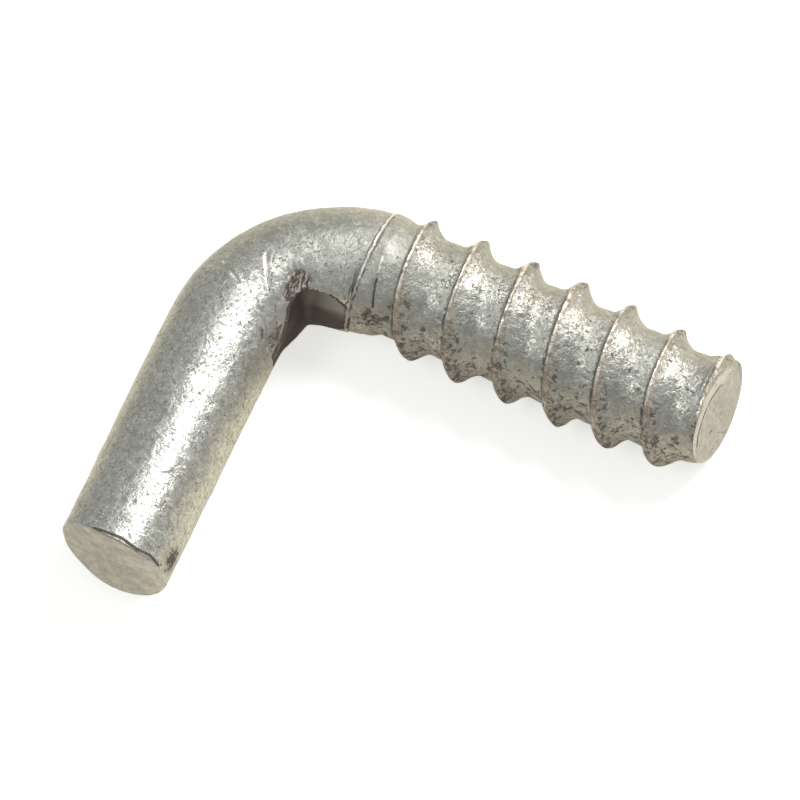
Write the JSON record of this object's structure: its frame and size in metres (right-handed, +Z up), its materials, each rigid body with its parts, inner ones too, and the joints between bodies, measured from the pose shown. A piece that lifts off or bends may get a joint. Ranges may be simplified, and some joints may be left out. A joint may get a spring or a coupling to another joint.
{
  "type": "screw hook",
  "caption": "L-shaped galvanised screw hook: a plain round pin at right angles to a coarse rolled wood-screw thread, bent from steel wire.",
  "frame": {"origin": "on the surface that the hook lies on, under the middle of its box", "axes": "+X along the threaded arm towards its tip, -Y along the pin towards its free end (1 degree off), +Z up"},
  "size_m": [0.037, 0.032, 0.0096],
  "materials": {
    "zinc_steel": "dull mottled zinc coat on steel"
  },
  "bodies": {
    "root": {"hook": "zinc_steel"}
  },
  "joints": []
}
